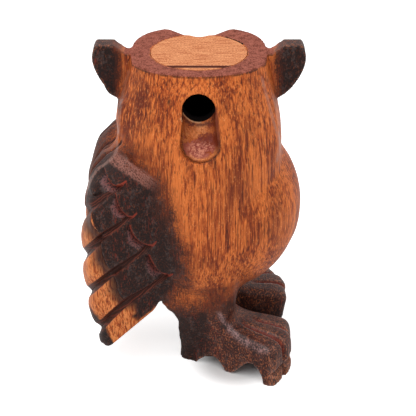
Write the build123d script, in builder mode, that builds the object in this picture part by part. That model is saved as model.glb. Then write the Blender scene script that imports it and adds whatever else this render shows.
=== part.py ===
"""A hand-carved wooden owl whistle: one carved block, a plug in the head and a slip that leaves the windway.

X points where the owl's breast faces, Y where the turned head faces, Z up. The soles stand on Z = 0.
"""

import os
from math import cos, radians, sin

from build123d import *

os.makedirs("parts", exist_ok=True)

# Head, in millimetres: half widths, and reaches from the bore axis to the back and the brow
head_top = 100.0  # ground to the sawn top
head_x = 2.0  # bore axis ahead of the middle of the base
crown_half = 19.6
crown_back = 19.2
crown_brow = 19.4
temple_z = 88.0
temple_half = 22.3
temple_back = 21.4
temple_brow = 21.2
cheek_z = 75.0
cheek_half = 24.3
cheek_back = 23.4
cheek_brow = 22.6
collar_z = 62.0
collar_half = 23.8
collar_back = 24.2
collar_brow = 22.6
waist_z = 47.0
waist_half = 21.0
waist_back = 24.0
waist_brow = 23.2
trunk_foot_z = 26.0  # the trunk under the head ends between the thighs here
trunk_foot_half = 9.0
trunk_foot_back = 14.0
ridge = (0.96, -0.44)  # ridge behind each ear, in shares of the half width
brow = ((1.0, 0.0), (0.82, 0.76), (0.47, 1.0))  # ear to brow, in shares of half width and brow reach
brow_middle = 1.01

# Breast and belly, an egg
breast_x = 6.0
breast_z = 51.8
breast_length = 53.4
breast_width = 46.0
breast_height = 57.0

# Wings, back and tail: reaches behind the origin and half widths from the tip up to the shoulder
wing_front = 2.0  # the wings die into the flank here
tip_z = 6.2
tip_clear = 0.1  # the flank is trimmed this far under the tail tip
tip_reach = 30.2
tip_half = 17.0
flight_z = 30.0
flight_reach = 34.5
flight_half = 21.6
wing_z = 48.0
wing_reach = 34.6
wing_half = 24.2
mantle_z = 66.0
mantle_reach = 30.4
mantle_half = 22.2
shoulder_z = 78.0
shoulder_reach = 17.0
shoulder_half = 14.5
feather_step = 1.1  # height of one row of feathers over the next
groove_depth = 0.8
groove_width = 2.2
back_half = 6.5  # half width of the back, sunk between the wings
feather_bow = 0.22  # bulge of a feather tip, as a share of its width
wing_corner = ((0.99, 0.66), (0.91, 0.93))  # rear corner, in shares of reach and half width
wing_lead = 0.78  # half width where the leading edge turns in, as a share

# Legs and feet
ankle_y = 5.8  # each ankle stands this far from the middle
toes = ((4.5, 0.0), (31.5, 0.3), (18.0, 0.9))  # outward splay and step forward of each toe
toe_length = 30.6
toe_thick = 7.2
toe_round = 2.0
toe_height = 13.8
toe_hump = 16.4  # halfway along the toe
toe_nose = 7.6  # where the toe turns straight down
instep_z = 24.0
instep_run = 9.5
claw_z = 4.4
claw_notch = 1.4
heel_rear = -3.7
heel_front = 9.5
heel_outer = 9.6
shin_z = 12.0
shin_rear = -4.3
shin_front = 11.5
shin_outer = 14.0
leg_inner = 2.4
thigh_z = 27.0
thigh_rear = -8.8
thigh_front = 13.0
thigh_outer = 19.0
leg_top = 36.0  # the thigh ends inside the belly here
leg_round = 3.2
heel_arch = ((1.4, 0), (3.9, 2.9), (6.1, 4.1), (7.6, 3.4), (9.8, 0))  # outline over the floor
toe_arch = ((11.2, 0), (14.4, 3.1), (18.0, 6.2), (20.1, 4.4), (21.3, 0))
arch_inner = 8.0  # the arches are cut from outside up to this far from the middle

# Ears
ear_reach = 30.9  # bore axis to the outside of an ear
ear_top = 102.4
ear_foot_z = 85.6
ear_front = 4.5
ear_thick = 5.6
ear_rim = ((1.2, 0.0), (0.0, 4.3), (1.8, 10.0), (4.6, 14.0))  # in from the reach, down from the top
ear_flat = 6.2  # the flat top runs in this far
ear_dip = 0.3  # where ear and head meet, under the sawn top
ear_root = 3.0  # the ear starts this far outside the bore

# Face
notch_side = ((0, 7.2), (3.4, 5.4), (6.2, 2.4), (10.5, -1))  # sideways from its middle, in from the brows
notch_lean = 0.36  # the notch comes out this much for each millimetre down
eye_x = 10.2
eye_y = 19.9
eye_z = 86.0
eye_turn = 24.0
eye_radius = 6.6
eye_sink = 1.6
pupil_radius = 3.6
beak_half = 4.6
beak_top_z = 85.0
beak_tip_z = 69.0
beak_reach = 24.8
beak_root = 17.0
beak_hook = 1.0  # the tip curls back this far
beak_taper = 20.0

# Whistle
bore_radius = 14.0
plug_thick = 4.5
plug_fit = 0.1  # glue line round the plug
seat_width = 1.2  # ledge that carries the plug
chamber_floor = 36.0
windway_at = 11.0  # bore axis to the inner side of the windway
windway_gap = 1.0
window_radius = 4.75
window_drop = 0.5  # underside of the plug to the window
lip_back = 14.2  # bore axis to the sharp lip
ramp_top_half = 4.3  # half width at the window
ramp_half = 5.4  # half width at its round lower end
ramp_bow = 4.6  # bulge of the round end
ramp_drop = 11.0  # lip to the lower end
ramp_hollow = 9.0  # radius of the gouge
ramp_slope = 57.0

far = 60.0  # longer than any cut needs
flank_plane = Plane((0, 0, 0), x_dir=(1, 0, 0), z_dir=(0, -1, 0))

# Tips of the upper and the middle row of feathers, from the shoulder down, as seen on the flank
upper_row = (
    ((-22.6, 67.5), (-17.9, 57.5)),
    ((-17.9, 56.5), (-12.4, 48.6)),
    ((-12.2, 45.9), (-7.2, 38.2)),
)
middle_row = (
    ((-29.2, 62.0), (-26.7, 52.2)),
    ((-26.6, 48.9), (-23.4, 40.1)),
    ((-22.6, 36.3), (-19.6, 28.6)),
)
# Grooves between feathers, from the spike of the upper row to the rim
grooves = (
    ((-19.0, 69.4), (-31.5, 59.5)),
    ((-17.9, 57.5), (-32.2, 45.6)),
    ((-12.7, 48.7), (-31.6, 32.4)),
    ((-8.1, 38.4), (-28.4, 18.6)),
)
# Front edge of a wing on the flank, from the shoulder down to the straight lower cut
wing_edge = ((-22.5, 79.5), (-10.5, 66.5), (-2.5, 55.0), (0.0, 46.0), (-2.0, 37.0), (-8.6, 28.0))
tail_cut = (-26.4, 8.6)  # the lower cut runs to here, then turns down to the tip


def head_slice(z, half, back, front):
    """Cross-section of the head: a round back, a ridge behind each ear, two brows."""
    right = [(across * half, along * front) for across, along in brow]
    left = [(-x, y) for x, y in reversed(right)]
    with BuildSketch(Plane((head_x, 0, z))) as outline:
        with BuildLine():
            rear = ThreePointArc(
                (-ridge[0] * half, ridge[1] * half), (0, -back), (ridge[0] * half, ridge[1] * half)
            )
            Spline(rear @ 1, *right, (0, brow_middle * front), *left, rear @ 0)
        make_face()
    return outline.sketch


def wing_slice(z, reach, half, sink):
    """Cross-section of wings and back, pared down by sink."""
    rear = sink - reach
    width = half - sink
    middle = (rear + wing_front) / 2
    corner = [(along * rear, -across * width) for along, across in wing_corner]
    with BuildSketch(Plane((0, 0, z))) as outline:
        with BuildLine():
            near = Spline(
                (rear, 0),
                *corner,
                (middle, -width),
                ((middle + wing_front) / 2, -wing_lead * width),
                (wing_front, 0),
                tangents=((0, -1), (0, 1)),
            )
            mirror(near, about=Plane.XZ)
        make_face()
    return outline.sketch


def wing_shell(sink):
    """Wings, back and tail as one smooth mass."""
    return loft(
        [
            wing_slice(tip_z, tip_reach, tip_half, sink),
            wing_slice(flight_z, flight_reach, flight_half, sink),
            wing_slice(wing_z, wing_reach, wing_half, sink),
            wing_slice(mantle_z, mantle_reach, mantle_half, sink),
            wing_slice(shoulder_z, shoulder_reach, shoulder_half, sink),
        ]
    )


def row_cut(row, sink):
    """Takes the wings down by sink behind the tips of one row of feathers."""
    with BuildPart() as cut:
        with BuildSketch(flank_plane):
            with BuildLine():
                lead = Polyline((-far, head_top), (row[0][0][0], head_top), row[0][0])
                for index, (start, end) in enumerate(row):
                    SagittaArc(start, end, -feather_bow * (Vector(end) - Vector(start)).length)
                    if index + 1 < len(row):
                        Line(end, row[index + 1][0])
                Polyline(row[-1][1], (row[-1][1][0], -far), (-far, -far), lead @ 0)
            make_face()
        extrude(amount=far, both=True)
        add(wing_shell(sink), mode=Mode.SUBTRACT)
    return cut.part


def groove_cut(lines, sink):
    """Narrow cuts between feathers, wider towards the rim, and the back sunk between the wings."""
    with BuildPart() as cut:
        with BuildSketch(flank_plane):
            for inner, outer in lines:
                along = (Vector(outer) - Vector(inner)).normalized()
                across = Vector(-along.Y, along.X) * (groove_width / 2)
                end = Vector(outer) + along * groove_width
                with BuildLine():
                    Polyline(Vector(inner), end + across, end - across, close=True)
                make_face()
        extrude(amount=far, both=True)
        with BuildSketch(Plane((-far / 2, 0, tip_z))):
            Rectangle(far, 2 * back_half)
        extrude(amount=shoulder_z - tip_z)
        add(wing_shell(sink), mode=Mode.SUBTRACT)
    return cut.part


with BuildPart() as wings:
    add(wing_shell(0))
    with BuildSketch(flank_plane):
        with BuildLine():
            edge = Spline(*wing_edge)
            Polyline(
                edge @ 1,
                tail_cut,
                (-tip_reach, tip_z - tip_clear),
                (-far, tip_z - tip_clear),
                (-far, head_top),
                (wing_edge[0][0], head_top),
                edge @ 0,
            )
        make_face()
    extrude(amount=far, both=True, mode=Mode.INTERSECT)
    add(row_cut(upper_row, feather_step), mode=Mode.SUBTRACT)
    add(row_cut(middle_row, 2 * feather_step), mode=Mode.SUBTRACT)
    add(groove_cut(grooves, 2 * feather_step + groove_depth), mode=Mode.SUBTRACT)

with BuildPart() as breast:
    with Locations((breast_x, 0, breast_z)):
        Sphere(0.5)
    scale(by=(breast_length, breast_width, breast_height), about=(breast_x, 0, breast_z))

with BuildPart() as head:
    loft(
        [
            head_slice(trunk_foot_z, trunk_foot_half, trunk_foot_back, trunk_foot_back),
            head_slice(waist_z, waist_half, waist_back, waist_brow),
            head_slice(collar_z, collar_half, collar_back, collar_brow),
            head_slice(cheek_z, cheek_half, cheek_back, cheek_brow),
            head_slice(temple_z, temple_half, temple_back, temple_brow),
            head_slice(head_top, crown_half, crown_back, crown_brow),
        ]
    )

with BuildPart() as toe:
    with BuildSketch(flank_plane):
        with BuildLine():
            top = Spline(
                (instep_run, instep_z),
                (toe_length / 2, toe_hump),
                (toe_length - toe_thick / 2, toe_height),
                (toe_length, toe_nose),
                tangents=((0.3, -1), (0, -1)),
            )
            Polyline(top @ 1, (toe_length, 0), (0, 0), (0, instep_z), top @ 0)
        make_face()
    extrude(amount=toe_thick / 2, both=True)
    fillet(toe.edges().filter_by(GeomType.BSPLINE), toe_round)
    with BuildSketch(flank_plane):
        with BuildLine():
            Polyline(
                (toe_length - claw_notch, claw_z),
                (toe_length + claw_notch, claw_z - 2 * claw_notch),
                (toe_length + claw_notch, claw_z + 2 * claw_notch),
                close=True,
            )
        make_face()
    extrude(amount=toe_thick, both=True, mode=Mode.SUBTRACT)

with BuildPart() as leg:
    for z, rear, front, outer in (
        (0, heel_rear, heel_front, heel_outer),
        (shin_z, shin_rear, shin_front, shin_outer),
        (thigh_z, thigh_rear, thigh_front, thigh_outer),
        (leg_top, thigh_rear, thigh_front, thigh_outer),
    ):
        with BuildSketch(Plane(((rear + front) / 2, -(leg_inner + outer) / 2, z))):
            RectangleRounded(front - rear, outer - leg_inner, leg_round)
    loft()
    for angle, step in toes:
        ahead = Vector(step, 0, 0).rotate(Axis.Z, -angle)
        with Locations(Location(ahead - Vector(0, ankle_y, 0), (0, 0, -angle))):
            add(toe.part)

with BuildPart() as ear:
    with BuildSketch(Plane((head_x, ear_front, 0), x_dir=(1, 0, 0), z_dir=(0, -1, 0))):
        with BuildLine():
            outer = [(ear_reach - inward, ear_top - drop) for inward, drop in ear_rim]
            rim = Spline(*outer, (temple_half, ear_foot_z))
            Polyline(
                rim @ 1,
                (bore_radius + ear_root, ear_foot_z),
                (bore_radius + ear_root, head_top - 2 * ear_dip),
                (crown_half + ear_root / 2, head_top - ear_dip),
                (ear_reach - ear_flat, ear_top),
                rim @ 0,
            )
        make_face()
    extrude(amount=ear_thick)

with BuildPart() as beak:
    with BuildSketch(Plane.YZ.offset(head_x)):
        with BuildLine():
            Polyline(
                (beak_root, beak_top_z + beak_hook),
                (beak_reach - 2.5 * beak_hook, beak_top_z - 2 * beak_hook),
                (beak_reach, (beak_top_z + beak_tip_z) / 2),
                (beak_reach - beak_hook, beak_tip_z),
                (beak_root, beak_tip_z + 3 * beak_hook),
                close=True,
            )
        make_face()
    extrude(amount=beak_half, both=True, taper=beak_taper)

# The notch between the brows leans out as it runs down the face
with BuildPart() as brow_notch:
    with BuildSketch(Plane((head_x, 0, head_top))):
        with BuildLine():
            right = [(across, crown_brow - inward) for across, inward in notch_side]
            left = [(-x, y) for x, y in reversed(right[1:])]
            valley = Spline(*left, *right)
            Polyline(valley @ 1, (right[-1][0], far), (left[0][0], far), valley @ 0)
        make_face()
    extrude(amount=far, dir=(0, notch_lean, -1))

# Round-ended ramp under the window, with a hollow floor that climbs in to the lip
window_z = head_top - plug_thick - window_drop - window_radius
lip_z = window_z - window_radius
with BuildPart() as ramp:
    with BuildSketch(Plane((head_x, 0, lip_z), x_dir=(1, 0, 0), z_dir=(0, -1, 0))):
        with BuildLine():
            left = Line((-ramp_top_half, window_radius), (-ramp_half, ramp_half - ramp_drop))
            foot = SagittaArc(left @ 1, (ramp_half, ramp_half - ramp_drop), -ramp_bow)
            Polyline(foot @ 1, (ramp_top_half, window_radius), left @ 0)
        make_face()
    extrude(amount=far)
    down = Vector(0, -cos(radians(ramp_slope)), -sin(radians(ramp_slope)))
    out = Vector(0, -sin(radians(ramp_slope)), cos(radians(ramp_slope)))
    lip = Vector(head_x, -lip_back, lip_z)
    with BuildSketch(Plane(lip + out * ramp_hollow - down * ramp_hollow, x_dir=(1, 0, 0), z_dir=down)):
        Circle(ramp_hollow)
    extrude(amount=far, mode=Mode.INTERSECT)

# What is drilled and gouged out of the block
with BuildPart() as hollows:
    with Locations((head_x, 0, head_top)):
        Cylinder(bore_radius, plug_thick, align=(Align.CENTER, Align.CENTER, Align.MAX))
    with Locations((head_x, 0, chamber_floor)):
        Cylinder(
            bore_radius - seat_width,
            head_top - plug_thick - chamber_floor,
            align=(Align.CENTER, Align.CENTER, Align.MIN),
        )
    with BuildSketch(Plane((head_x, 0, window_z), x_dir=(1, 0, 0), z_dir=(0, -1, 0))):
        Circle(window_radius)
    extrude(amount=far)
    add(ramp.part)
    for side in (-1, 1):
        turn = radians(eye_turn) * side
        eye_plane = Plane(
            (head_x + side * eye_x, eye_y, eye_z),
            x_dir=(cos(turn), -sin(turn), 0),
            z_dir=(sin(turn), cos(turn), 0),
        )
        with BuildSketch(eye_plane.offset(-eye_sink)):
            Circle(eye_radius)
            Circle(pupil_radius, mode=Mode.SUBTRACT)
        extrude(amount=far / 6)

with BuildPart() as arches:
    for outline in (heel_arch, toe_arch):
        with BuildSketch(flank_plane):
            with BuildLine():
                over = Spline(*outline)
                Line(over @ 1, over @ 0)
            make_face()
        extrude(amount=far, both=True)
    Box(2 * far, 2 * arch_inner, far, mode=Mode.SUBTRACT)

with BuildPart() as owl_body:
    add(wings.part)
    add(breast.part)
    add(head.part)
    add(leg.part)
    add(mirror(leg.part, about=Plane.XZ, mode=Mode.PRIVATE))
    add(ear.part)
    add(mirror(ear.part, about=Plane.YZ.offset(head_x), mode=Mode.PRIVATE))
    add(brow_notch.part, mode=Mode.SUBTRACT)
    add(beak.part)
    add(hollows.part, mode=Mode.SUBTRACT)
    add(arches.part, mode=Mode.SUBTRACT)

with BuildPart() as fipple_plug:
    with BuildSketch(Plane((head_x, 0, head_top - plug_thick))):
        Circle(bore_radius - plug_fit)
        with Locations((0, -windway_at - bore_radius / 2)):
            Rectangle(2 * bore_radius, bore_radius, mode=Mode.SUBTRACT)
    extrude(amount=plug_thick)
    add(brow_notch.part, mode=Mode.SUBTRACT)

with BuildPart() as windway_slip:
    with BuildSketch(Plane((head_x, 0, head_top - plug_thick))):
        Circle(bore_radius - plug_fit)
        with Locations((0, -windway_at - windway_gap - bore_radius / 2)):
            Rectangle(2 * bore_radius, bore_radius, mode=Mode.INTERSECT)
    extrude(amount=plug_thick)

for piece, name in (
    (owl_body, "owl_body"),
    (fipple_plug, "fipple_plug"),
    (windway_slip, "windway_slip"),
):
    piece.part.label = name
    export_step(piece.part, f"parts/{name}.step")
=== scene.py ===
import math
from types import SimpleNamespace

import bmesh
import bpy
import numpy as np
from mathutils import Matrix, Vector


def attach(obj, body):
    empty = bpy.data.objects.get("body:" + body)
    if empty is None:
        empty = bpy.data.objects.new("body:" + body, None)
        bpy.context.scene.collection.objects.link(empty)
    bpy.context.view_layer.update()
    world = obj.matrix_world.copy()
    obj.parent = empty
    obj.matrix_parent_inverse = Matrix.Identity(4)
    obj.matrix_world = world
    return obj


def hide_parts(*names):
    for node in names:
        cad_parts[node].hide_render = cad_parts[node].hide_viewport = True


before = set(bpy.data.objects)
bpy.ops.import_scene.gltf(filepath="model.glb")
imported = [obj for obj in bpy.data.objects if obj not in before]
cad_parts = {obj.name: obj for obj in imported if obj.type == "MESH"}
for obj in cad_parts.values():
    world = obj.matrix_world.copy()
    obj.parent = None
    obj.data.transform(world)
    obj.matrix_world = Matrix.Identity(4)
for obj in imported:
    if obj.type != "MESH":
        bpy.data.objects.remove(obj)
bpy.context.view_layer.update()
print("frame loaded", sorted(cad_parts))

# Studio

studio = {
    "aim": Vector((0.0046, 0.0, 0.04915)),
    "distance": 0.42,
    "elevation": 27.75,  # degrees down on the owl
    "lens": 119.0,
    "sensor": 36.0,
    "nearest": 0.01,
    "airColor": (1.0, 1.0, 1.0, 1.0),
    "ambient": 0.62,
    "floorColor": (0.85, 0.85, 0.85, 1.0),
    "floorHalf": 1.5,
    "floorGlow": 0.68,
    "paintedShadowCentre": (0.013, -0.012, 0.0),  # no glow under the foot, so its shadow stays: a painted shadow patch on the floor
    "paintedShadowReach": (0.006, 0.017),
    "lamps": [
        # name, place in metres, size, watts
        ("keyLamp", (-0.16, -0.40, 0.85), 0.9, 4.6),
        ("sideLamp", (0.60, 0.15, 0.35), 0.35, 0.4),
        ("rearLamp", (-0.55, 0.10, 0.40), 0.35, 0.4),
    ],
}


class Wire:
    # one socket of a node tree, with sums written as Python
    def __init__(self, tree, socket=None):
        self.tree = tree
        self.socket = socket

    def add(self, kind, settings=None, inputs=None, output=0):
        node = self.tree.nodes.new(kind)
        for name, value in (settings or {}).items():
            setattr(node, name, value)
        for key, value in (inputs or {}).items():
            if isinstance(value, Wire):
                self.tree.links.new(value.socket, node.inputs[key])
            else:
                node.inputs[key].default_value = value
        return Wire(self.tree, node.outputs[output] if node.outputs else None)

    def sum(self, operation, first, second):
        return self.add("ShaderNodeMath", {"operation": operation}, {0: first, 1: second})

    def __add__(self, other):
        return self.sum("ADD", self, other)

    def __radd__(self, other):
        return self.sum("ADD", other, self)

    def __sub__(self, other):
        return self.sum("SUBTRACT", self, other)

    def __rsub__(self, other):
        return self.sum("SUBTRACT", other, self)

    def __mul__(self, other):
        return self.sum("MULTIPLY", self, other)

    def __rmul__(self, other):
        return self.sum("MULTIPLY", other, self)

    def vector(self, operation, other, output="Vector"):
        return self.add("ShaderNodeVectorMath", {"operation": operation}, {0: self, 1: other}, output)

    def step(self, low, high):
        # 0 under low, 1 over high, smooth between; low may be the larger
        settings = {"interpolation_type": "SMOOTHSTEP", "clamp": True}
        return self.add("ShaderNodeMapRange", settings, {0: self, 1: low, 2: high, 3: 0.0, 4: 1.0})

    def mix(self, first, second, factor):
        settings = {"data_type": "RGBA", "blend_type": "MIX", "clamp_factor": True}
        inputs = {0: factor, 6: asColor(first), 7: asColor(second)}
        return self.add("ShaderNodeMix", settings, inputs, 2)

    def stretch(self, across, along):
        # coordinates in grain units, from metres: two ways across the grain, then along it
        return self.vector("MULTIPLY", (1 / across, 1 / across, 1 / along))

    def noise(self, detail, roughness):
        inputs = {"Vector": self, "Scale": 1.0, "Detail": detail, "Roughness": roughness}
        return self.add("ShaderNodeTexNoise", None, inputs)

    def rake(self, direction, waver):
        # streaks across a direction given in streaks per metre
        along = self.vector("DOT_PRODUCT", direction, "Value")
        inputs = {"W": along + waver, "Scale": 1.0, "Detail": 2.0}
        return self.add("ShaderNodeTexNoise", {"noise_dimensions": "1D"}, inputs)

    def attribute(self, name):
        return self.add("ShaderNodeAttribute", {"attribute_name": name}, None, "Fac")


class Paint:
    # a colour that takes one layer over another
    def __init__(self, start, colors, ground):
        self.start = start
        self.colors = colors
        self.wire = colors[ground]

    def layer(self, color, amount):
        over = color if isinstance(color, Wire) else self.colors[color]
        self.wire = self.start.mix(self.wire, over, amount)

    def mark(self, name):
        return self.start.attribute(name)


def asColor(value):
    return value if isinstance(value, Wire) else (*value, 1.0)


def newMaterial(name):
    material = bpy.data.materials.new(name)
    material.use_nodes = True
    start = Wire(material.node_tree)
    place = start.add("ShaderNodeTexCoord", None, None, "Object")
    return material, material.node_tree.nodes["Principled BSDF"], start, place


def feed(wire, shader, name):
    wire.tree.links.new(wire.socket, shader.inputs[name])


def lookAtAim(obj, place):
    obj.location = place
    obj.rotation_euler = (studio["aim"] - Vector(place)).to_track_quat("-Z", "Y").to_euler()
    bpy.context.scene.collection.objects.link(obj)


def addCamera():
    scene = bpy.context.scene
    scene.view_settings.view_transform = "Standard"
    camera = bpy.data.objects.new("camera", bpy.data.cameras.new("camera"))
    camera.data.lens = studio["lens"]
    camera.data.sensor_width = studio["sensor"]
    camera.data.clip_start = studio["nearest"]
    tilt = math.radians(studio["elevation"])
    back = Vector((0.0, -math.cos(tilt), math.sin(tilt)))
    lookAtAim(camera, studio["aim"] + back * studio["distance"])
    scene.camera = camera


def addLamps():
    for name, place, size, watts in studio["lamps"]:
        lamp = bpy.data.lights.new(name, "AREA")
        lamp.shape = "DISK"
        lamp.size = size
        lamp.energy = watts
        lookAtAim(bpy.data.objects.new(name, lamp), place)


def addAir():
    world = bpy.data.worlds.new("studioAir")
    bpy.context.scene.world = world
    world.use_nodes = True
    world.node_tree.nodes.clear()
    start = Wire(world.node_tree)
    seen = start.add("ShaderNodeLightPath", None, None, "Is Camera Ray")
    for name in ("Is Glossy Ray", "Is Transmission Ray"):
        seen = start.sum("MAXIMUM", seen, start.add("ShaderNodeLightPath", None, None, name))
    strength = studio["ambient"] + (1 - studio["ambient"]) * seen
    air = start.add("ShaderNodeBackground", None, {"Color": studio["airColor"], "Strength": strength})
    start.add("ShaderNodeOutputWorld", None, {"Surface": air})


def addFloor():
    mesh = bpy.data.meshes.new("floor")
    half = studio["floorHalf"]
    corners = [(-half, -half, 0), (half, -half, 0), (half, half, 0), (-half, half, 0)]
    mesh.from_pydata(corners, [], [(0, 1, 2, 3)])
    floor = bpy.data.objects.new("floor", mesh)
    bpy.context.scene.collection.objects.link(floor)
    material = bpy.data.materials.new("paleFloor")
    material.use_nodes = True
    material.node_tree.nodes.clear()
    start = Wire(material.node_tree)
    seen = start.add("ShaderNodeLightPath", None, None, "Is Camera Ray")
    matt = start.add("ShaderNodeBsdfDiffuse", None, {"Color": studio["floorColor"]})
    place = start.add("ShaderNodeTexCoord", None, None, "Object")
    # the glow fades out near the foot: a painted shadow patch on the floor
    away = place.vector("DISTANCE", studio["paintedShadowCentre"], "Value")
    glowing = studio["floorGlow"] * away.step(*studio["paintedShadowReach"])
    glowColor = start.mix((0.0, 0.0, 0.0), (1.0, 1.0, 1.0), glowing * seen)
    glow = start.add("ShaderNodeEmission", None, {"Color": glowColor})
    both = start.add("ShaderNodeAddShader", None, {0: matt, 1: glow})
    start.add("ShaderNodeOutputMaterial", None, {"Surface": both})
    mesh.materials.append(material)


addCamera()
addLamps()
addAir()
addFloor()
print("studio built")

# Owl: the carved block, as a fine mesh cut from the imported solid. Sizes here are millimetres.

owl = {
    "voxel": 0.45,
    "headTop": 100.0,
    "flankY": -22.0,  # the carving is laid out on this plane, as (x, z)
    "sight": (4.6, -371.7, 244.7),  # and carried to both flanks along lines from here
    "creaseRounds": 170,
    "crispRounds": 20,
    "wingRounds": 70,
    "footRounds": 70,
    "instepRounds": 8,
    "pupilRounds": 60,
    "notchRounds": 24,
    "cutReach": (1.7, 0.7),  # a knife cut is laid flat over this distance
    "cutFacing": (0.2, 0.5),
    "knifeDepth": 0.2,
    "ridgeHalf": 0.55,
    # ridges of the head that catch the light; a pale highlight is painted along them
    "ridges": [
        [(-16.6, 104.5), (-18.6, 97.5), (-20.0, 90.0), (-20.6, 83.0)],
        [(18.8, 103.0), (20.8, 95.5), (22.8, 88.0), (24.6, 81.5), (23.8, 73.5)],
        [(-20.7, 83.3), (-21.4, 78.1), (-24.5, 74.7), (-26.9, 72.9), (-29.5, 68.1), (-30.9, 63.3)],
    ],
}

whistle = {
    "boreX": 2.0,
    "boreRadius": 14.0,
    "chamberFloor": 36.0,
    "windowZ": 90.25,
    "windowRadius": 4.75,
    "windowDroop": 0.9,  # the worn lower half of the window is taller than round
    "wallMargin": 0.35,  # points this close to the bore's wall count as inside
    "floorMargin": 0.5,
    "mouthDepth": 0.5,  # the bore is painted black below this, as painted shade
    "behindY": -8.0,
    "outermostY": -24.0,
    "sawnDepth": 3.0,
    "sawnHalf": 21.5,
    "crackTurn": 42.0,  # the crack beside the plug: its middle and half in degrees round the bore
    "crackHalf": 17.0,
    "crackWidth": 0.45,
    "crackDepth": 1.5,
    # lipBlack: how far the painted black of the window reaches below its lower edge
    "lipBlack": 0.45,
    "gougeDepth": 0.5,
    "rampHalf": 9.0,
    "rampOutline": [
        (-2.6, 91.0), (-2.9, 85.0), (-2.7, 80.0), (-1.6, 77.2), (0.4, 75.6), (2.6, 75.1),
        (5.0, 75.7), (7.2, 77.5), (8.0, 80.0), (7.9, 85.0), (7.3, 91.0),
    ],
}

# Parts of the owl as soft masks: a coordinate, where the mask is 0 and where it is 1
zones = {
    "outside": [("z", 99.2, 98.2), ("z", 0.3, 2.0)],
    "legRear": [("x", 8.0, 2.0), ("x", -9.0, -5.0)],
    "backShoulder": [("x", -14.0, -20.0), ("y", -6.0, 2.0)],
    "headSide": [("x", -14.0, -17.0), ("across", 14.0, 9.0)],
    "farFoot": [("y", 1.0, 3.0), ("x", 6.0, 12.0), ("z", 27.0, 20.0)],
    "toes": [("x", 18.0, 30.0), ("z", 13.0, 5.0)],
    "overSole": [("z", 3.0, 10.0)],
    "rimBehind": [("z", 93.0, 99.5), ("y", -14.5, -19.5), ("beside", 17.0, 9.0)],
    "nearRamp": [("beside", 9.5, 7.0), ("y", -9.0, -12.0), ("z", 70.0, 73.0)],
    "ears": [("beside", 20.5, 22.0), ("z", 83.0, 86.0)],
    "face": [("y", 9.0, 13.0), ("z", 58.0, 63.0)],
    "chest": [("x", 14.0, 20.0), ("z", 49.0, 56.0)],
    "temples": [("beside", 13.5, 16.0), ("z", 74.0, 80.0)],
    "trunk": [("z", 20.0, 26.0), ("z", 99.0, 97.0)],
    "overTip": [("z", 7.0, 15.0)],
    "feet": [("z", 8.0, 12.0), ("z", 30.0, 26.0), ("x", 2.0, 6.0)],
    "insteps": [("z", 11.0, 14.0)],
    "notch": [("beside", 10.5, 7.5), ("y", 12.0, 14.5), ("z", 90.0, 95.0)],
    "wingRear": [("x", -2.0, -6.0)],
    "lowerCut": [("x", -2.0, -10.0), ("z", 5.0, 8.0)],
    "back": [("x", -14.0, -18.0), ("z", 12.0, 18.0), ("z", 80.0, 75.0)],
    "toeTops": [("z", 6.0, 9.0)],
    "underTop": [("z", 97.5, 95.0)],
    "flank": [("x", 3.0, 0.0)],
    "middleBack": [("across", 14.5, 12.0), ("x", -12.0, -18.0)],
    "earTips": [("z", 84.0, 87.0)],
    "beak": [("beside", 4.5, 3.5), ("y", 18.5, 20.0), ("z", 66.0, 69.0)],
    "overLegs": [("z", 26.0, 31.0)],
    "footSide": [("z", 27.0, 20.0)],
    "footLow": [("z", 15.0, 6.0)],
    "offRim": [("x", -31.5, -29.5)],
}


def smooth(value, low, high):
    # 0 at low, 1 at high, smooth between; low may be the larger
    share = np.clip((value - low) / (high - low), 0.0, 1.0)
    return share * share * (3 - 2 * share)


def bell(value, middle, width):
    return np.exp(-(((value - middle) / width) ** 2))


def fadeEnds(share, first, last):
    return smooth(share, 0.0, first) * smooth(share, 1.0, last)


def softNoise(points, size, seed):
    # smooth lumps of about the given size, from 0 to 1
    lattice = np.random.default_rng(seed).random((32, 32, 32))
    place = points / size + 1000.0
    cell = np.floor(place).astype(int)
    part = place - cell
    part = part * part * (3 - 2 * part)
    total = np.zeros(len(points))
    for corner in range(8):
        offset = np.array([(corner >> axis) & 1 for axis in range(3)])
        weight = np.where(offset, part, 1 - part).prod(axis=1)
        index = (cell + offset) % 32
        total += weight * lattice[index[:, 0], index[:, 1], index[:, 2]]
    return total


def roundedLine(corners, steps=6):
    # a line that runs smoothly through its corners
    corners = np.array(corners, float)
    ends = np.vstack([2 * corners[0] - corners[1], corners, 2 * corners[-1] - corners[-2]])
    share = np.linspace(0, 1, steps, endpoint=False)[:, None]
    runs = []
    for a, b, c, d in zip(ends, ends[1:], ends[2:], ends[3:]):
        curve = 2 * b + (c - a) * share + (2 * a - 5 * b + 4 * c - d) * share**2
        runs.append(0.5 * (curve + (3 * b - a - 3 * c + d) * share**3))
    return np.vstack(runs + [corners[-1:]])


def measure(chart, corners):
    # distance to a line, side of it (1 to the left of its run, -1 to the right), share of its length
    line = np.array(corners, float)
    best = np.full(len(chart), np.inf)
    side = np.zeros(len(chart))
    share = np.zeros(len(chart))
    lengths = np.linalg.norm(np.diff(line, axis=0), axis=1)
    before = np.concatenate([[0], np.cumsum(lengths)])
    for number, (start, end) in enumerate(zip(line, line[1:])):
        run = end - start
        offset = chart - start
        along = np.clip(offset @ run / (run @ run), 0.0, 1.0)
        away = offset - along[:, None] * run
        distance = np.hypot(away[:, 0], away[:, 1])
        nearer = distance < best
        best = np.where(nearer, distance, best)
        turn = run[0] * offset[:, 1] - run[1] * offset[:, 0]
        side = np.where(nearer, np.sign(turn), side)
        share = np.where(nearer, (before[number] + along * lengths[number]) / before[-1], share)
    return best, side, share


def signedGap(chart, corners):
    # distance to a line, positive to the left of its run
    gap, side, _ = measure(chart, corners)
    return gap * side


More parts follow.
